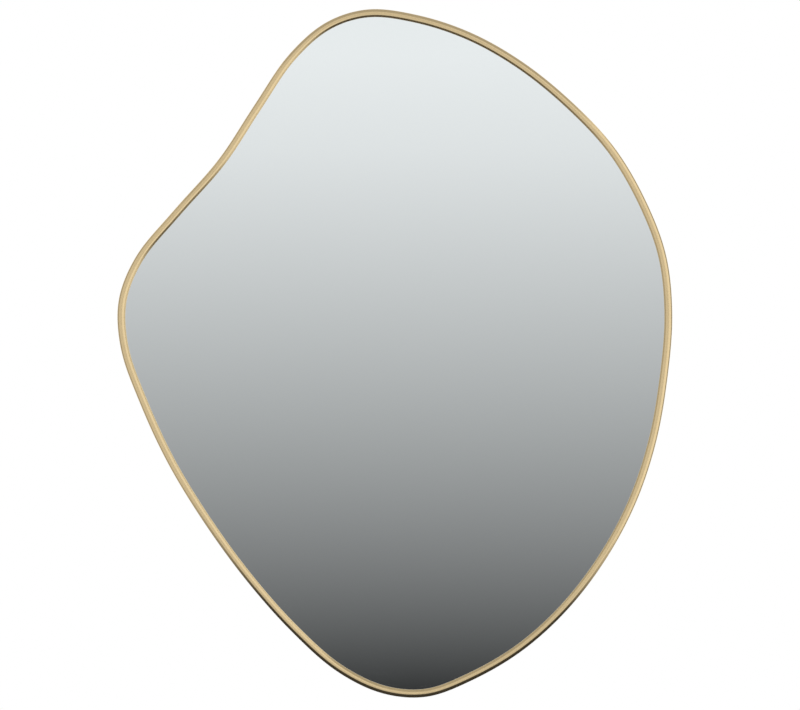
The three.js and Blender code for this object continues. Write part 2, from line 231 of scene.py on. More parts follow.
def face_outward(piece):
    shape = bmesh.new()
    shape.from_mesh(piece.data)
    bmesh.ops.recalc_face_normals(shape, faces=shape.faces)
    shape.to_mesh(piece.data)
    shape.free()


def shade(piece, sharp_degrees=35):
    for polygon in piece.data.polygons:
        polygon.use_smooth = True
    piece.data.set_sharp_from_angle(angle=math.radians(sharp_degrees))


def settle(piece):
    """Makes the piece's modifiers part of its mesh."""
    bpy.context.view_layer.update()
    graph = bpy.context.evaluated_depsgraph_get()
    finished = bpy.data.meshes.new_from_object(piece.evaluated_get(graph))
    piece.modifiers.clear()
    rough = piece.data
    piece.data = finished
    finished.name = piece.name
    bpy.data.meshes.remove(rough)


def cut(piece, cutters):
    for cutter in cutters:
        trim = piece.modifiers.new("cut", "BOOLEAN")
        trim.operation = "DIFFERENCE"
        trim.solver = "EXACT"
        trim.object = cutter
    settle(piece)
    for cutter in cutters:
        bpy.data.meshes.remove(cutter.data)


def ease_edges(piece, width, steps=2, sharp_degrees=40):
    bevel = piece.modifiers.new("edges", "BEVEL")
    bevel.width = width
    bevel.segments = steps
    bevel.limit_method = "ANGLE"
    bevel.angle_limit = math.radians(sharp_degrees)
    settle(piece)


def fill_rings(rings, per_ring, closed):
    """Faces between rings of vertices, each ring closed. closed joins the last ring to the first."""
    faces = []
    for i in range(rings if closed else rings - 1):
        for j in range(per_ring):
            a, b = i * per_ring + j, i * per_ring + (j + 1) % per_ring
            c, d = ((i + 1) % rings) * per_ring + (j + 1) % per_ring, ((i + 1) % rings) * per_ring + j
            faces.append((a, b, c, d))
    return faces


def circle(radius, depth, sides):
    """Places round a circle square to Y."""
    angles = [2 * math.pi * i / sides for i in range(sides)]
    return [(radius * math.cos(a), depth, radius * math.sin(a)) for a in angles]


def turned(name, profile, sides):
    """A solid turned about Y, through (radius, depth) corners. A radius of 0 is a point."""
    vertices, faces, rows = [], [], []
    for radius, depth in profile:
        first = len(vertices)
        if radius == 0:
            vertices.append((0.0, depth, 0.0))
            rows.append([first] * sides)
            continue
        vertices += circle(radius, depth, sides)
        rows.append(list(range(first, first + sides)))
    closed = profile[0][0] != 0
    pairs = list(zip(rows, rows[1:] + rows[:1] if closed else rows[1:]))
    for low, high in pairs:
        for i in range(sides):
            j = (i + 1) % sides
            corners = list(dict.fromkeys((low[i], low[j], high[j], high[i])))
            if len(corners) > 2:
                faces.append(corners)
    piece = mesh_object(name, vertices, faces)
    face_outward(piece)
    return piece


def peg(name, radius, low, high, x=0.0, z=0.0, sides=32):
    """A round cutter along Y."""
    piece = turned(name, [(0, low), (radius, low), (radius, high), (0, high)], sides)
    piece.data.transform(Matrix.Translation((x, 0, z)))
    return piece


def softened(corners, radius, steps=3):
    """An open chain of corners, each inner corner rounded by cutting radius off both its sides."""
    chain = [np.array(corners[0], float)]
    for before, corner, after in zip(corners, corners[1:], corners[2:]):
        before, corner, after = (np.array(p, float) for p in (before, corner, after))
        start = corner + (before - corner) * min(0.5, radius / np.linalg.norm(before - corner))
        end = corner + (after - corner) * min(0.5, radius / np.linalg.norm(after - corner))
        for t in np.linspace(0, 1, steps + 1):
            chain.append((1 - t) ** 2 * start + 2 * t * (1 - t) * corner + t**2 * end)
    chain.append(np.array(corners[-1], float))
    return chain


def band(name, outline, section):
    """A closed band that follows the outline. Its section is a ring of (inset, depth) corners."""
    section = np.array(section)
    across = running_length(section)
    vertices = []
    for point, inward in zip(outline.points, outline.inward):
        for inset, depth in section:
            x, z = point + inward * inset
            vertices.append((x, depth, z))
    count, corners = len(outline.points), len(section)
    piece = mesh_object(name, vertices, fill_rings(count, corners, closed=True))
    grain = piece.data.uv_layers.new(name="grain")
    flat = []
    for i in range(count):
        for j in range(corners):
            along = outline.run[i], outline.run[i + 1]
            side = across[j], across[j + 1]
            flat += [along[0], side[0], along[0], side[1], along[1], side[1], along[1], side[0]]
    grain.data.foreach_set("uv", flat)
    face_outward(piece)
    return piece


def pane(name, outline, inset, rear, front, arris):
    """A flat pane with an arris round both faces. front is the lower depth.

    Its edge has material 1, and its rear face material 2."""
    rings = [(inset + arris, rear), (inset, rear - arris), (inset, front + arris), (inset + arris, front)]
    vertices = [(x, depth, z) for distance, depth in rings for x, z in outline.inset(distance)]
    count = len(outline.points)
    faces = fill_rings(len(rings), count, closed=False)
    faces.append(tuple(range((len(rings) - 1) * count, len(rings) * count)))
    faces.append(tuple(range(count)))
    piece = mesh_object(name, vertices, faces)
    piece.data.polygons.foreach_set("material_index", [1] * (len(faces) - 2) + [0, 2])
    face_outward(piece)
    return piece


def bent_sheet(name, path, half_widths, thickness):
    """A strip of sheet along a path of (x, y) places, with its width along Z."""
    path = np.array(path, float)
    along = np.gradient(path, axis=0)
    along /= np.linalg.norm(along, axis=1)[:, None]
    side = np.stack([-along[:, 1], along[:, 0]], 1) * thickness / 2
    vertices = []
    for place, offset, half in zip(path, side, half_widths):
        for sign, z in ((-1, -half), (1, -half), (1, half), (-1, half)):
            x, y = place + sign * offset
            vertices.append((x, y, z))
    faces = fill_rings(len(path), 4, closed=False)
    last = 4 * (len(path) - 1)
    faces += [(3, 2, 1, 0), (last, last + 1, last + 2, last + 3)]
    piece = mesh_object(name, vertices, faces)
    face_outward(piece)
    return piece


def wire(name, path, radius, sides=24):
    """A round wire along a path in the plane of x and z, with eased ends."""
    path = np.array(path, float)
    along = np.gradient(path, axis=0)
    along /= np.linalg.norm(along, axis=1)[:, None]
    side = np.stack([-along[:, 1], along[:, 0]], 1)
    ease = radius * 0.2
    rings = [(place, normal, radius) for place, normal in zip(path, side)]
    rings[0] = (path[0] + along[0] * ease, side[0], radius)
    rings[-1] = (path[-1] - along[-1] * ease, side[-1], radius)
    rings = [(path[0], side[0], radius - ease), *rings, (path[-1], side[-1], radius - ease)]
    vertices = []
    for place, normal, size in rings:
        for i in range(sides):
            angle = 2 * math.pi * i / sides
            x, z = place + normal * size * math.cos(angle)
            vertices.append((x, size * math.sin(angle), z))
    faces = fill_rings(len(rings), sides, closed=False)
    faces.append(tuple(range(sides)))
    faces.append(tuple(range((len(rings) - 1) * sides, len(rings) * sides)))
    piece = mesh_object(name, vertices, faces)
    face_outward(piece)
    return piece


def arc(centre, radius, start, end, steps):
    angles = np.linspace(math.radians(start), math.radians(end), steps + 1)
    return [(centre[0] + radius * math.cos(a), centre[1] + radius * math.sin(a)) for a in angles]


def fit(piece, node, slot, *materials, body="mirror", smooth=35):
    """Gives a piece its materials and puts it in the place of its solid."""
    piece.data.materials.clear()
    for material in materials:
        piece.data.materials.append(material)
    shade(piece, smooth)
    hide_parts(node)
    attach(piece, body)


def copy_of(piece, name):
    twin = bpy.data.objects.new(name, piece.data)
    bpy.context.scene.collection.objects.link(twin)
    return twin


def nodes_named(part):
    """Names of the solids with part in their name, in order."""
    return sorted(node for node in frame["nodes"] if part in node)


def drop(piece):
    """Takes away a pattern piece, whose mesh its copies keep."""
    bpy.data.objects.remove(piece)


# ------------------------------------------------------------------ finishes


class Nodes:
    """The nodes of a material or world, put together step by step."""

    def __init__(self, block, emptied=True):
        block.use_nodes = True
        self.nodes, self.links = block.node_tree.nodes, block.node_tree.links
        if emptied:
            self.nodes.clear()

    def node(self, kind, inputs, **settings):
        """The outputs of a new node. Each of its inputs is a value or another node's output."""
        made = self.nodes.new(kind)
        for key, value in settings.items():
            setattr(made, key, value)
        for socket, value in inputs.items():
            if isinstance(value, bpy.types.NodeSocket):
                self.links.new(value, made.inputs[socket])
            else:
                made.inputs[socket].default_value = value
        return made.outputs

    def spread(self, value, low, high, from_low=0.3, from_high=0.7, change="LINEAR"):
        """The value moved from its own range to low and high."""
        ends = {"From Min": from_low, "From Max": from_high, "To Min": low, "To Max": high}
        moved = self.node("ShaderNodeMapRange", {"Value": value, **ends}, interpolation_type=change)
        return moved["Result"]

    def combine(self, first, second, operation="ADD"):
        return self.node("ShaderNodeMath", {0: first, 1: second}, operation=operation)["Value"]

    def blend(self, share, first, second):
        """Two colours mixed by share, from 0 to 1."""
        share_in, first_colour, second_colour, colour_out = 0, 6, 7, 2
        inputs = {share_in: share, first_colour: first, second_colour: second}
        return self.node("ShaderNodeMix", inputs, data_type="RGBA")[colour_out]


class Finish(Nodes):
    """A surface of one base colour, with the patterns that vary it."""

    def __init__(self, name, base, roughness, metallic=0.0):
        self.material = bpy.data.materials.new(name)
        super().__init__(self.material, emptied=False)
        self.base = tuple(base)
        self.shader = self.nodes["Principled BSDF"]
        self.set("Base Color", (*base, 1.0))
        self.set("Roughness", roughness)
        self.set("Metallic", metallic)
        self.material.diffuse_color = (*base, 1.0)
        self.material.roughness = roughness
        self.material.metallic = metallic

    def set(self, socket, value):
        self.shader.inputs[socket].default_value = value

    def drive(self, socket, value):
        self.links.new(value, self.shader.inputs[socket])

    def place(self, scale=(1, 1, 1), along_band=False):
        """Coordinates in metres: of the piece, or along and across the band."""
        if along_band:
            source = self.node("ShaderNodeUVMap", {}, uv_map="grain")["UV"]
        else:
            source = self.node("ShaderNodeTexCoord", {})["Object"]
        return self.node("ShaderNodeMapping", {"Vector": source, "Scale": scale})["Vector"]

    def noise(self, place, scale=1.0, detail=2.0, roughness=0.5):
        inputs = {"Vector": place, "Scale": scale, "Detail": detail, "Roughness": roughness}
        return self.node("ShaderNodeTexNoise", inputs)["Fac"]

    def cells(self, place, scale):
        return self.node("ShaderNodeTexVoronoi", {"Vector": place, "Scale": scale})["Distance"]

    def tone(self, factor):
        """The base colour, lighter or darker."""
        return (*(min(1.0, part * factor) for part in self.base), 1.0)

    def tones(self, share, first, second):
        """Colours the surface between two tones, by share."""
        self.drive("Base Color", self.blend(share, self.tone(first), self.tone(second)))

    def bump(self, height, distance, strength):
        inputs = {"Height": height, "Distance": distance, "Strength": strength}
        self.drive("Normal", self.node("ShaderNodeBump", inputs)["Normal"])


def brushed_brass(finishes):
    """Fine strokes square to the band, in two widths, over a faint cloudiness of the plating."""
    made = Finish("brushed_brass", finishes.brass, finishes.brass_roughness, 1.0)
    fine = made.noise(made.place((1600, 30, 1), along_band=True), detail=3)
    broad = made.noise(made.place((420, 12, 1), along_band=True), detail=2)
    strokes = made.combine(made.combine(fine, 0.6, "MULTIPLY"), made.combine(broad, 0.4, "MULTIPLY"))
    cloud = made.noise(made.place(), scale=14, detail=3)
    share = made.combine(made.spread(strokes, 0.0, 0.75), made.spread(cloud, 0.0, 0.25))
    made.tones(share, 0.93, 1.04)
    level = finishes.brass_roughness
    made.drive("Roughness", made.spread(strokes, level + 0.04, level - 0.04))
    made.bump(strokes, 0.003 * MM, 0.5)
    return made.material


def silvering(finishes):
    """A mirror with the faint unevenness of float glass."""
    made = Finish("silvering", finishes.silver, 0.012, 1.0)
    wave = made.noise(made.place(), scale=6, detail=1)
    made.bump(wave, 0.02 * MM, 0.15)
    haze = made.noise(made.place(), scale=9, detail=4)
    made.drive("Roughness", made.spread(haze, 0.008, 0.02))
    return made.material


def ground_glass_edge(finishes):
    """The green edge of the glass, with the marks of its grinding."""
    made = Finish("ground_glass_edge", finishes.glass_edge, 0.35)
    grind = made.noise(made.place((300, 900, 300)), detail=3)
    made.tones(made.spread(grind, 0, 1), 0.8, 1.25)
    made.bump(grind, 0.02 * MM, 0.5)
    return made.material


def backing_paint(finishes):
    """Grey paint, rolled on up and down."""
    made = Finish("backing_paint", finishes.backing_paint, 0.55)
    roll = made.noise(made.place((60, 60, 8)), detail=3)
    made.tones(made.spread(roll, 0, 1), 0.92, 1.08)
    made.bump(made.noise(made.place(), scale=900), 0.02 * MM, 0.4)
    return made.material


def clear_vinyl(finishes):
    """A drawn strip, with faint lines along it."""
    made = Finish("clear_vinyl", finishes.vinyl, 0.4)
    made.set("Transmission Weight", 0.35)
    draw = made.noise(made.place((20, 400, 1), along_band=True), detail=2)
    made.tones(made.spread(draw, 0, 1), 0.9, 1.1)
    made.bump(draw, 0.02 * MM, 0.4)
    return made.material


def white_foam(finishes):
    """Closed cells of about a millimetre."""
    made = Finish("white_foam", finishes.foam, 0.92)
    cell = made.cells(made.place(), 1100)
    coarse = made.noise(made.place(), scale=160, detail=3)
    made.tones(made.spread(cell, 0, 1, 0.1, 0.8), 1.0, 0.86)
    made.bump(made.combine(cell, coarse), 0.12 * MM, 0.7)
    return made.material


def raw_fibreboard(finishes):
    """Pressed wood fibres, darker in flecks, with the sanding's faint streaks."""
    made = Finish("raw_fibreboard", finishes.board, 0.8)
    pressed = made.noise(made.place(), scale=240, detail=7, roughness=0.72)
    fibres = made.noise(made.place((160, 160, 520)), detail=5, roughness=0.65)
    crossed = made.noise(made.place((480, 160, 190)), detail=5, roughness=0.65)
    fleck = made.noise(made.place(), scale=650, detail=2, roughness=0.6)
    cloud = made.noise(made.place(), scale=7, detail=4)
    streaks = made.combine(made.combine(fibres, 0.2, "MULTIPLY"), made.combine(crossed, 0.2, "MULTIPLY"))
    grain = made.combine(made.combine(pressed, 0.6, "MULTIPLY"), streaks)
    woody = made.blend(made.spread(grain, 0, 1, 0.36, 0.64), made.tone(0.82), made.tone(1.12))
    flecked = made.blend(made.spread(fleck, 0, 0.55, 0.62, 0.74), woody, made.tone(0.45))
    made.drive("Base Color", made.blend(made.spread(cloud, 0, 0.35), flecked, made.tone(0.8)))
    made.drive("Roughness", made.spread(grain, 0.72, 0.9))
    made.bump(made.combine(grain, fleck), 0.06 * MM, 0.5)
    return made.material


def zinc_plating(finishes):
    """Bright zinc with soft crystals and the fine lines of rolled sheet."""
    made = Finish("zinc_plating", finishes.zinc, 0.32, 1.0)
    crystals = made.cells(made.place(), 900)
    rolled = made.noise(made.place((150, 1800, 1800)), detail=3)
    stain = made.noise(made.place(), scale=120, detail=4)
    stained = (0.62, 0.6, 0.52, 1.0)
    bright = made.blend(made.spread(crystals, 0, 1, 0.1, 0.7), made.tone(1.05), made.tone(0.88))
    made.drive("Base Color", made.blend(made.spread(stain, 0, 0.4, 0.5, 0.75), bright, stained))
    made.drive("Roughness", made.spread(made.combine(crystals, rolled), 0.25, 0.42, 0.5, 1.1))
    made.bump(made.combine(rolled, crystals), 0.01 * MM, 0.5)
    return made.material


def moulded_rubber(finishes):
    """Matt rubber with a little dust on it."""
    made = Finish("moulded_rubber", finishes.rubber, 0.68)
    grain = made.noise(made.place(), scale=2200, detail=2)
    dust = made.noise(made.place(), scale=260, detail=4)
    dusty = (0.14, 0.135, 0.13, 1.0)
    made.drive("Base Color", made.blend(made.spread(dust, 0, 0.5, 0.5, 0.8), made.tone(1.0), dusty))
    made.drive("Roughness", made.spread(dust, 0.6, 0.82))
    made.bump(grain, 0.04 * MM, 0.6)
    return made.material


def finish(maker):
    """The material that maker makes, made at its first use."""
    return bpy.data.materials.get(maker.__name__) or maker(bpy.context.scene.mirror_finishes)


# ------------------------------------------------------------------ pieces


class MIRROR_OT_brass_frame(bpy.types.Operator):
    """Build the bent brass-coloured frame, with its domed face and its seat for the glass"""

    bl_idname = "mirror.brass_frame"
    bl_label = "Brass Frame"

    def execute(self, context):
        sizes = context.scene.mirror_sizes
        outline = Outline(sizes.stations)
        seat_gap = 0.3 * MM
        seat_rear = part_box("seat_gasket")[0].y - seat_gap
        crown_foot = FRAME_LOW.y + sizes.crown_height
        rear = FRAME_HIGH.y
        middle = sizes.face_width / 2
        sheet = sizes.sheet
        wall_rows, face_steps, hollow_steps = 7, 48, 14
        slope_shares = (0.0, 0.12, 0.88, 1.0)

        def dome(margin, steps):
            return [
                (
                    middle - (middle - margin) * math.cos(math.pi * i / steps),
                    crown_foot - (sizes.crown_height - margin) * math.sin(math.pi * i / steps),
                )
                for i in range(steps + 1)
            ]

        wall = [(0, y) for y in np.linspace(rear, crown_foot, wall_rows)[1:-1]]
        seat_edge = sizes.face_width - sizes.seat_width
        lip = [
            (sizes.face_width, seat_rear),
            (seat_edge, seat_rear),
            (seat_edge, seat_rear - sheet),
            (sizes.face_width - sheet, seat_rear - sheet),
        ]
        slope_start = sizes.face_width - sizes.inner_slope
        slope_top = crown_foot - sizes.crown_height * math.sqrt(1 - (slope_start / middle - 1) ** 2)
        face = [place for place in dome(0, face_steps) if place[0] < slope_start - 0.1 * MM]
        for share in slope_shares:
            face.append((slope_start + sizes.inner_slope * share, slope_top + sizes.slope_fall * share))
        hollow = list(reversed(dome(sheet, hollow_steps)))
        chain = softened([(sheet / 2, rear), (0, rear), wall[0]], sizes.edge_round)[:-1]
        chain += wall + face[:-1]
        chain += softened([face[-2], face[-1], *lip, hollow[0]], sizes.edge_round)[1:-1]
        chain += hollow
        chain += softened([hollow[-1], (sheet, rear), (sheet / 2, rear)], sizes.edge_round)[1:-1]
        piece = band("brass_frame", outline, chain)
        fit(piece, "mirror_frame", "brass_finish", finish(brushed_brass), smooth=50)
        return {"FINISHED"}


class MIRROR_OT_seat_strip(bpy.types.Operator):
    """Build the clear vinyl strip between the frame's seat and the glass"""

    bl_idname = "mirror.seat_strip"
    bl_label = "Seat Strip"

    def execute(self, context):
        sizes = context.scene.mirror_sizes
        low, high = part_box("seat_gasket")
        side_gap, corner_round = 0.8 * MM, 0.15 * MM
        outer = low.x - FRAME_LOW.x
        inner = outer + sizes.seat_width - 2 * side_gap
        start = ((outer + inner) / 2, high.y)
        ring = [start, (outer, high.y), (outer, low.y), (inner, low.y), (inner, high.y), start]
        section = softened(ring, corner_round)[:-1]
        piece = band("vinyl_seat_strip", Outline(sizes.stations // 2), section)
        fit(piece, "seat_gasket", "clear_vinyl", finish(clear_vinyl))
        return {"FINISHED"}


class MIRROR_OT_glass(bpy.types.Operator):
    """Build the silvered glass with its ground edge and painted back"""

    bl_idname = "mirror.glass"
    bl_label = "Silvered Glass"

    def execute(self, context):
        sizes = context.scene.mirror_sizes
        piece = pane(
            "silvered_glass_pane", Outline(sizes.stations), GLASS_INSET,
            GLASS_HIGH.y, GLASS_LOW.y, sizes.glass_arris,
        )
        finishes = [finish(maker) for maker in (silvering, ground_glass_edge, backing_paint)]
        fit(piece, "mirror_glass", "silvered_glass", *finishes)
        return {"FINISHED"}


class MIRROR_OT_foam(bpy.types.Operator):
    """Build the foam strips that press the glass forward"""

    bl_idname = "mirror.foam"
    bl_label = "Foam Strips"

    def execute(self, context):
        chance = np.random.default_rng(5)
        row_height, round_share, end_pinch, most_pinch = 12 * MM, 0.35, 0.02, 0.012
        for node in nodes_named("foam_strip_"):
            low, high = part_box(node)
            middle, half = (low + high) / 2, (high - low) / 2
            radius = round_share * half.y
            corner = [
                (half.x - radius + radius * math.cos(a), half.y - radius + radius * math.sin(a))
                for a in np.linspace(0, math.pi / 2, 4)
            ]
            ring = corner + [(-x, y) for x, y in reversed(corner)]
            ring += [(-x, -y) for x, y in ring]
            heights = np.linspace(-half.z, half.z, 2 + int(half.z / row_height))
            vertices = []
            for i, z in enumerate(heights):
                at_end = i in (0, len(heights) - 1)
                wide = 1.0 - (end_pinch if at_end else chance.uniform(0.0, most_pinch))
                deep = 0.96 + 0.04 * wide
                vertices += [(middle.x + x * wide, middle.y + y * deep, middle.z + z) for x, y in ring]
            faces = fill_rings(len(heights), len(ring), closed=False)
            faces += [tuple(range(len(ring))), tuple(range(len(vertices) - len(ring), len(vertices)))]
            piece = mesh_object(f"foam_pad_{node[-1]}", vertices, faces)
            face_outward(piece)
            fit(piece, node, "white_foam", finish(white_foam), smooth=50)
        return {"FINISHED"}


def screw_places():
    """Name of each screw's node, and the middle of its box in x and z."""
    found = {}
    for node in nodes_named("screw"):
        low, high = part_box(node)
        found[node] = ((low.x + high.x) / 2, (low.z + high.z) / 2)
    return found


class MIRROR_OT_backboard(bpy.types.Operator):
    """Build the fibreboard back, with a blind hole for each screw"""

    bl_idname = "mirror.backboard"
    bl_label = "Backboard"

    def execute(self, context):
        sizes = context.scene.mirror_sizes
        low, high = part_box("backboard")
        outline, inset = Outline(sizes.stations), low.x - FRAME_LOW.x
        piece = pane("fibre_backboard", outline, inset, high.y, low.y, sizes.board_arris)
        piece.data.polygons.foreach_set("material_index", [0] * len(piece.data.polygons))
        past_tip = 0.3 * MM
        holes = [
            peg(f"hole_{node}", sizes.screw_hole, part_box(node)[0].y - past_tip, high.y + MM, x, z, sides=24)
            for node, (x, z) in screw_places().items()
        ]
        cut(piece, holes)
        fit(piece, "backboard", "fibreboard", finish(raw_fibreboard))
        return {"FINISHED"}


class MIRROR_OT_brackets(bpy.types.Operator):
    """Build the eight folded steel brackets that hold the backboard in the frame"""

    bl_idname = "mirror.brackets"
    bl_label = "Frame Brackets"

    def execute(self, context):
        sizes = context.scene.mirror_sizes
        outline = Outline(sizes.stations)
        thick, half_width = 1.2 * MM, 7 * MM
        leg_height, leg_corner = 4.5 * MM, 0.8 * MM
        foot_reach, foot_corner, screw_at = 17 * MM, 3 * MM, 11 * MM
        outer = sizes.bend_radius + thick
        path, widths = [], []
        for angle in np.radians(np.linspace(5, 90, 8)):
            path.append((foot_reach - foot_corner * (1 - math.cos(angle)), thick / 2))
            widths.append(half_width - foot_corner * (1 - math.sin(angle)))
        path += [(x, thick / 2) for x in np.linspace(foot_reach - foot_corner, outer, 6)[1:-1]]
        path += arc((outer, outer), sizes.bend_radius + thick / 2, -90, -180, 8)
        widths += [half_width] * (len(path) - len(widths))
        for angle in np.radians(np.linspace(90, 8, 5)):
            path.append((thick / 2, leg_height - leg_corner * (1 - math.cos(angle))))
            widths.append(half_width - leg_corner * (1 - math.sin(angle)))
        pattern = bent_sheet("bracket_pattern", path, widths, thick)
        cut(pattern, [peg("bracket_hole", sizes.screw_hole, -MM, thick + MM, screw_at)])
        ease_edges(pattern, 0.12 * MM)
        places = screw_places()
        for node in nodes_named("frame_bracket_"):
            x, z = places[f"bracket_screw_{node[-1]}"]
            inward = outline.inward_at(x, z)
            foot = np.array([x, z]) - inward * screw_at
            turn = math.atan2(-inward[1], inward[0])
            piece = copy_of(pattern, f"steel_bracket_{node[-1]}")
            move = Matrix.Translation((foot[0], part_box(node)[0].y, foot[1]))
            piece.matrix_world = move @ Matrix.Rotation(turn, 4, "Y")
            fit(piece, node, "zinc_steel", finish(zinc_plating), smooth=40)
        drop(pattern)
        return {"FINISHED"}


class MIRROR_OT_screws(bpy.types.Operator):
    """Build the pan-head screws with their cross recesses"""

    bl_idname = "mirror.screws"
    bl_label = "Screws"

    def execute(self, context):
        low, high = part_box("bracket_screw_1")
        head, tall, edge = (high.x - low.x) / 2, 1.8 * MM, 0.75 * MM
        shank, core, pitch = 1.5 * MM, 1.1 * MM, 1.1 * MM
        neck, run_out, point, blunt = -0.6 * MM, 0.4 * MM, 2 * MM, 0.25 * MM
        sides, thread_rows = 24, 46
        tip = low.y - (high.y - tall)
        rings = []
        for y in np.linspace(tip + blunt, neck, thread_rows):
            taper = min(1.0, 0.25 + 0.75 * (y - tip) / point)
            fade = min(1.0, (neck - y) / run_out + 0.05)
            ring = []
            for x, _, z in circle(1.0, y, sides):
                turn = math.atan2(z, x) / (2 * math.pi)
                wave = abs(((y / pitch - turn) % 1.0) * 2 - 1)
                ridge = max(0.0, 1 - 3.2 * (1 - wave)) * fade
                radius = (core + (shank - core) * ridge) * taper
                ring.append((radius * x, y, radius * z))
            rings.append(ring)
        profile = [
            (core, neck + 0.1 * MM), (shank * 0.9, -0.15 * MM), (shank, 0),
            (head * 0.93, 0), (head, 0.1 * MM), (head, edge),
        ]
        for angle in np.linspace(0, math.pi / 2, 9)[1:-1]:
            profile.append((head * math.cos(angle), edge + (tall - edge) * math.sin(angle)))
        rings += [circle(radius, y, sides) for radius, y in profile]
        vertices = [place for ring in rings for place in ring] + [(0, tip, 0), (0, tall, 0)]
        faces = fill_rings(len(rings), sides, closed=False)
        last = (len(rings) - 1) * sides
        for first, apex in ((0, last + sides), (last, last + sides + 1)):
            faces += [(first + i, first + (i + 1) % sides, apex) for i in range(sides)]
        pattern = mesh_object("screw_pattern", vertices, faces)
        face_outward(pattern)
        long, wide = 1.7 * MM, 0.4 * MM
        star = [(long, wide), (wide, wide), (wide, long)]
        star += [(-x, z) for x, z in reversed(star)]
        star += [(x, -z) for x, z in reversed(star)]
        depths = [(tall + 0.5 * MM, 1.08), (tall - 1.0 * MM, 0.72), (tall - 1.15 * MM, 0.5)]
        corners = [(x * size, y, z * size) for y, size in depths for x, z in star]
        recess_faces = fill_rings(len(depths), len(star), closed=False)
        recess_faces += [tuple(range(len(star))), tuple(range(len(corners) - len(star), len(corners)))]
        recess = mesh_object("recess", corners, recess_faces)
        face_outward(recess)
        cut(pattern, [recess])
        for i, (node, (x, z)) in enumerate(screw_places().items()):
            piece = copy_of(pattern, f"steel_{node}")
            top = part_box(node)[1].y
            turn = math.radians(37 * i % 90)
            piece.matrix_world = Matrix.Translation((x, top - tall, z)) @ Matrix.Rotation(turn, 4, "Y")
            fit(piece, node, "zinc_steel", finish(zinc_plating), smooth=32)
        drop(pattern)
        return {"FINISHED"}


def hinge_place(side):
    """The middle of a ring's bar."""
    joint = next(j for j in frame["joints"] if j["name"] == f"{side}_ring_hinge")
    return Vector(joint["pos_m"])


class MIRROR_OT_straps(bpy.types.Operator):
    """Build the two folded straps that hold the rings"""

    bl_idname = "mirror.straps"
    bl_label = "Hanger Straps"

    def execute(self, context):
        sizes = context.scene.mirror_sizes
        sheet, seam, ease = sizes.strap_sheet, 0.04 * MM, 0.9 * MM
        hinge = hinge_place("left")
        low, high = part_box("hanger_left_strap")
        bar = hinge.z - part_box("hanger_left_ring")[0].z
        turn_radius = bar + sizes.wire_play + sheet / 2
        half_width = (high.x - low.x) / 2
        end_centre = hinge.z - low.z - half_width
        front, rear = -turn_radius, -turn_radius + sheet
        ease_y = rear + ease
        ease_x = math.sqrt((turn_radius + ease) ** 2 - ease_y**2)
        leave = math.degrees(math.atan2(ease_y, ease_x))
        round_end = [end_centre + half_width * math.sin(a) for a in np.radians(np.linspace(86, 0, 14))[:-1]]
        path = [(x, front) for x in round_end]
        path += [(x, front) for x in np.linspace(end_centre, 0, 8)[:-1]]
        path += arc((0, 0), turn_radius, -90, -360 + leave, 26)
        path += arc((ease_x, ease_y), ease, 180 + leave, 270, 6)[1:]
        path += [(x, rear) for x in np.linspace(ease_x, end_centre, 8)[1:]]
        path += [(x, rear) for x in reversed(round_end)]
        past_centre = [max(0.0, (x - end_centre) / half_width) for x, _ in path]
        widths = [half_width * math.sqrt(max(0.004, 1 - share**2)) for share in past_centre]
        pattern = bent_sheet("strap_pattern", path, widths, sheet - seam)
        holes = []
        for i in (1, 2):
            along = hinge.z - screw_places()[f"hanger_left_screw_{i}"][1]
            holes.append(peg(f"strap_hole_{i}", sizes.screw_hole, -6 * MM, 0.2 * MM, along))
        cut(pattern, holes)
        ease_edges(pattern, 0.1 * MM)
        for side in HANGERS:
            piece = copy_of(pattern, f"ring_strap_{side}")
            piece.matrix_world = Matrix.Translation(hinge_place(side)) @ Matrix.Rotation(math.pi / 2, 4, "Y")
            fit(piece, f"hanger_{side}_strap", "zinc_steel", finish(zinc_plating), smooth=40)
        drop(pattern)
        return {"FINISHED"}


class MIRROR_OT_rings(bpy.types.Operator):
    """Build the two D-rings, each bent from one wire, leaning on the backboard"""

    bl_idname = "mirror.rings"
    bl_label = "D-rings"

    def execute(self, context):
        low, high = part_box("hanger_left_ring")
        place = hinge_place("left")
        radius = place.z - low.z
        half = (high.x - low.x) / 2 - radius
        corner, straight, split = 3 * MM, 2 * MM, 0.5 * MM
        bow = corner + straight
        right = [(split / 2, 0.0), (half / 2, 0.0), *arc((half - corner, corner), corner, -90, 0, 10)]
        path = right + arc((0, bow), half, 0, 180, 48) + [(-x, z) for x, z in reversed(right)]
        pattern = wire("ring_pattern", path, radius)
        lean = math.asin((place.y - radius - low.y) / (bow + half))
        for side in HANGERS:
            piece = copy_of(pattern, f"d_ring_{side}")
            piece.matrix_world = Matrix.Translation(hinge_place(side)) @ Matrix.Rotation(lean, 4, "X")
            ring_body = f"{side}_ring"
            fit(piece, f"hanger_{side}_ring", "zinc_steel", finish(zinc_plating), body=ring_body, smooth=60)
        drop(pattern)
        return {"FINISHED"}


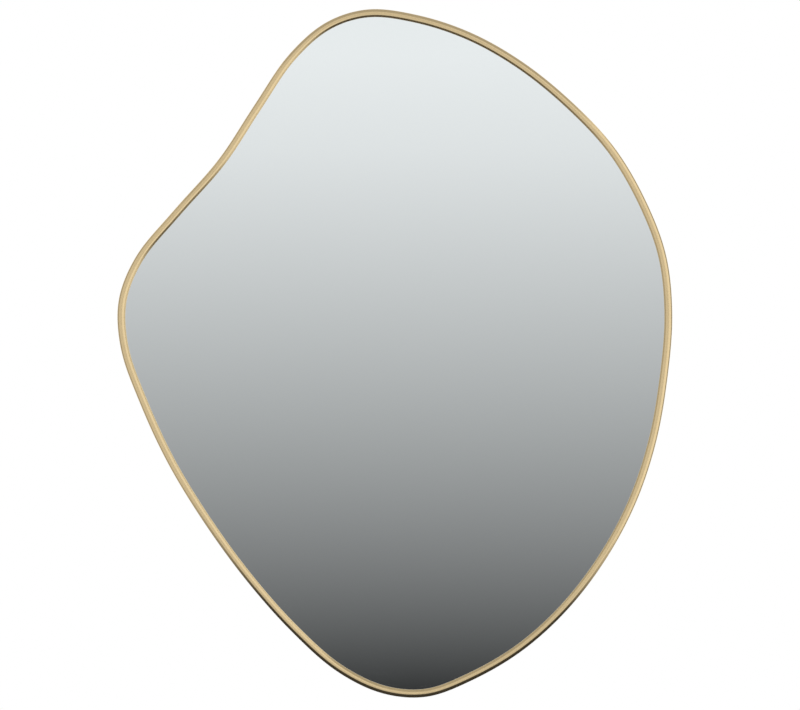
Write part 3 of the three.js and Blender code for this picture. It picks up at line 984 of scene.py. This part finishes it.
class MIRROR_OT_buffers(bpy.types.Operator):
    """Build the four rubber buffers that keep the frame off the wall"""

    bl_idname = "mirror.buffers"
    bl_label = "Wall Buffers"

    def execute(self, context):
        low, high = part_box("wall_buffer_1")
        radius, tall = (high.x - low.x) / 2, high.y - low.y
        bore, seat, web, draft, soft = 1.8 * MM, 3.3 * MM, 2.4 * MM, 0.25 * MM, 0.9 * MM
        foot_ease, seat_ease, web_ease = 0.3 * MM, 0.35 * MM, 0.15 * MM
        rim = [
            (radius - draft - soft + soft * math.cos(a), tall - soft + soft * math.sin(a))
            for a in np.linspace(0, math.pi / 2, 7)
        ]
        profile = [
            (bore, 0), (radius - foot_ease, 0), (radius, foot_ease), (radius, 2 * foot_ease), *rim,
            (seat + seat_ease, tall), (seat, tall - seat_ease),
            (seat, web + web_ease), (seat - web_ease, web), (bore, web),
        ]
        pattern = turned("buffer_pattern", profile, 48)
        for node in nodes_named("wall_buffer_"):
            low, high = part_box(node)
            middle = (low + high) / 2
            piece = copy_of(pattern, f"rubber_buffer_{node[-1]}")
            piece.location = (middle.x, low.y, middle.z)
            fit(piece, node, "black_rubber", finish(moulded_rubber), smooth=40)
        drop(pattern)
        return {"FINISHED"}


# ------------------------------------------------------------------ stage


def grey_of(level):
    return (level, level, level, 1.0)


def glow_material(name, levels, low=0.0, high=1.0, axis="Z", front_fade=None):
    """A card's glow. levels are (share of the way from low to high along the axis, grey), or one grey.

    front_fade is (depth where it starts, depth where it ends, grey there), towards the front."""
    material = bpy.data.materials.new(name)
    made = Nodes(material)
    if isinstance(levels, float):
        shown = grey_of(levels)
    else:
        place = made.node("ShaderNodeTexCoord", {})["Object"]
        axes = made.node("ShaderNodeSeparateXYZ", {"Vector": place})
        share = made.spread(axes[axis], 0.0, 1.0, low, high)
        shown = made.node("ShaderNodeValToRGB", {"Fac": share})["Color"]
        ramp = shown.node.color_ramp
        while len(ramp.elements) < len(levels):
            ramp.elements.new(0.5)
        for element, (at, level) in zip(ramp.elements, levels):
            element.position = at
            element.color = grey_of(level)
        if front_fade:
            start, end, level = front_fade
            fade = made.spread(axes["Y"], 0.0, 1.0, start, end, "SMOOTHSTEP")
            shown = made.blend(fade, shown, grey_of(level))
    glow = made.node("ShaderNodeEmission", {"Color": shown})["Emission"]
    made.node("ShaderNodeOutputMaterial", {"Surface": glow})
    return material


def card(name, corners, material):
    """A studio card that only shiny surfaces see."""
    count = len(corners) // 2
    faces = [(i, i + 1, count + i + 1, count + i) for i in range(count - 1)]
    piece = mesh_object(name, corners, faces)
    piece.data.materials.append(material)
    piece.visible_camera = False
    piece.visible_diffuse = False
    piece.visible_shadow = False
    piece.visible_transmission = False


def soft_lamp(name, place, size, power):
    """A round lamp that faces the middle of the mirror and that nothing reflects."""
    lamp = bpy.data.lights.new(name, "AREA")
    lamp.shape = "DISK"
    lamp.size = size
    lamp.energy = power
    stand = bpy.data.objects.new(name, lamp)
    stand.location = place
    stand.rotation_mode = "QUATERNION"
    stand.rotation_quaternion = (-Vector(place)).to_track_quat("-Z", "Y")
    stand.visible_glossy = False
    bpy.context.scene.collection.objects.link(stand)


def white_world(level):
    """White where it is seen or mirrored, and a plain level of light on the object."""
    world = bpy.data.worlds.new("studio")
    made = Nodes(world)
    ray = made.node("ShaderNodeLightPath", {})
    seen = made.combine(ray["Is Camera Ray"], ray["Is Glossy Ray"], "MAXIMUM")
    shown = made.combine(seen, ray["Is Transmission Ray"], "MAXIMUM")
    strength = made.spread(shown, level, 1.0, 0.0, 1.0)
    sky = made.node("ShaderNodeBackground", {"Color": grey_of(1.0), "Strength": strength})["Background"]
    made.node("ShaderNodeOutputWorld", {"Surface": sky})
    world.cycles.sampling_method = "NONE"
    bpy.context.scene.world = world


def floor_material(fade_start, fade_end):
    """Pale paper that keeps the shadow and fades into the white behind it at its rim."""
    material = bpy.data.materials.new("pale_paper")
    made = Nodes(material)
    place = made.node("ShaderNodeTexCoord", {})["Object"]
    far = made.node("ShaderNodeVectorMath", {0: place}, operation="LENGTH")["Value"]
    fade = made.spread(far, 0.0, 1.0, fade_start, fade_end, "SMOOTHSTEP")
    paper = made.node("ShaderNodeBsdfDiffuse", {"Color": grey_of(0.86)})["BSDF"]
    glow = made.node("ShaderNodeEmission", {})["Emission"]
    mixed = made.node("ShaderNodeMixShader", {0: fade, 1: paper, 2: glow})["Shader"]
    made.node("ShaderNodeOutputMaterial", {"Surface": mixed})
    return material


class MIRROR_OT_studio(bpy.types.Operator):
    """Set up the camera, the floor, the lamps and the cards that the metal and the glass reflect"""

    bl_idname = "mirror.studio"
    bl_label = "Studio"

    def execute(self, context):
        settings = context.scene.mirror_studio
        face = FRAME_LOW.y + context.scene.mirror_sizes.crown_height
        lens = bpy.data.cameras.new("view")
        lens.lens = lens.sensor_width * (settings.distance + face) / settings.seen_width
        camera = bpy.data.objects.new("view", lens)
        camera.location = (settings.camera_x, -settings.distance, settings.camera_z)
        camera.rotation_euler = (math.pi / 2, 0, 0)
        context.scene.collection.objects.link(camera)
        context.scene.camera = camera
        context.scene.view_settings.view_transform = "Standard"
        white_world(0.7)

        floor_radius, fade_start, fade_end = 1.44, 0.5, 1.38
        rim = [(x, y, 0.0) for x, _, y in circle(floor_radius, 0.0, 64)]
        floor = mesh_object("paper_floor", rim, [tuple(range(len(rim)))])
        floor.location = (0.0, 0.0, -settings.floor_drop)
        floor.data.materials.append(floor_material(fade_start, fade_end))
        floor.visible_glossy = False

        far, low, high = 60.0, -2.7, 3.4
        fall = [(0.0, 0.05), (0.06, 0.035), (0.674, 0.815), (0.78, 0.895), (1.0, 0.9)]
        glass_card = [(x, -far, z) for z in (low, high) for x in (-3.0, 3.0)]
        card("glass_card", glass_card, glow_material("glass_card_grey", fall, low, high))

        behind = far + 1.0
        angles = [math.radians(a) for a in range(-78, 31, 4)]
        sweep = [(behind * math.sin(a), -behind * math.cos(a)) for a in angles]
        front = [(x, y, z) for z in (-70.0, 56.0) for x, y in sweep]
        opening = [(0.0, 0.75), (0.2, 0.75), (1.0, 1.0)]
        card("front_card", front, glow_material("front_card_grey", opening, 0.0, behind / 2, "X"))

        for name, near, end, grey in (
            ("left_card", (-3.0, 2.5), (-3.0, -0.7), 0.5),
            ("right_card", (3.0, -0.15), (3.0, 2.5), 0.4),
            ("left_wing", (-1.6, 0.5), (-6.0, 0.5), 0.3),
            ("right_wing", (1.6, 0.5), (6.0, 0.5), 0.3),
        ):
            upright = [(x, y, z) for z in (-2.5, 2.5) for x, y in (near, end)]
            card(name, upright, glow_material(f"{name}_grey", grey))
        top = [(x, y, 2.6) for y in (-3.0, 2.5) for x in (-3.0, 2.5)]
        card("top_card", top, glow_material("top_card_grey", 0.5))
        reach, front_fade = 1.2, (-0.45, -1.2, 0.75)
        flag = [(x, y, -0.8) for y in (-1.2, 1.5) for x in (-reach, reach)]
        ends = [(0.0, 0.5), (0.08, 0.4), (0.2, 0.05), (0.8, 0.05), (0.92, 0.5), (1.0, 0.6)]
        card("low_flag", flag, glow_material("low_flag_black", ends, -reach, reach, "X", front_fade))

        soft_lamp("front_lamp", (1.6, -3.0, 2.4), size=2.4, power=60)
        soft_lamp("back_lamp", (-1.2, 3.0, 2.4), size=2.4, power=60)
        return {"FINISHED"}


# ------------------------------------------------------------------ panel and run

STEPS = (
    MIRROR_OT_brass_frame,
    MIRROR_OT_seat_strip,
    MIRROR_OT_glass,
    MIRROR_OT_foam,
    MIRROR_OT_backboard,
    MIRROR_OT_brackets,
    MIRROR_OT_screws,
    MIRROR_OT_straps,
    MIRROR_OT_rings,
    MIRROR_OT_buffers,
    MIRROR_OT_studio,
)


class MIRROR_PT_pieces(bpy.types.Panel):
    """The mirror's pieces, sizes and finishes"""

    bl_idname = "MIRROR_PT_pieces"
    bl_label = "Pebble Wall Mirror"
    bl_space_type = "VIEW_3D"
    bl_region_type = "UI"
    bl_category = "Mirror"

    def draw(self, context):
        for step in STEPS:
            self.layout.operator(step.bl_idname)
        for group in (context.scene.mirror_sizes, context.scene.mirror_finishes, context.scene.mirror_studio):
            box = self.layout.box()
            for name in group.__annotations__:
                box.prop(group, name)


CLASSES = (MirrorSizes, MirrorFinishes, StudioSettings, *STEPS, MIRROR_PT_pieces)


def register():
    for kind in CLASSES:
        bpy.utils.register_class(kind)
    bpy.types.Scene.mirror_sizes = PointerProperty(type=MirrorSizes)
    bpy.types.Scene.mirror_finishes = PointerProperty(type=MirrorFinishes)
    bpy.types.Scene.mirror_studio = PointerProperty(type=StudioSettings)


def unregister():
    del bpy.types.Scene.mirror_studio
    del bpy.types.Scene.mirror_finishes
    del bpy.types.Scene.mirror_sizes
    for kind in reversed(CLASSES):
        bpy.utils.unregister_class(kind)


def main():
    register()
    for step in STEPS:
        group, name = step.bl_idname.split(".")
        getattr(getattr(bpy.ops, group), name)()


if __name__ == "__main__":
    main()
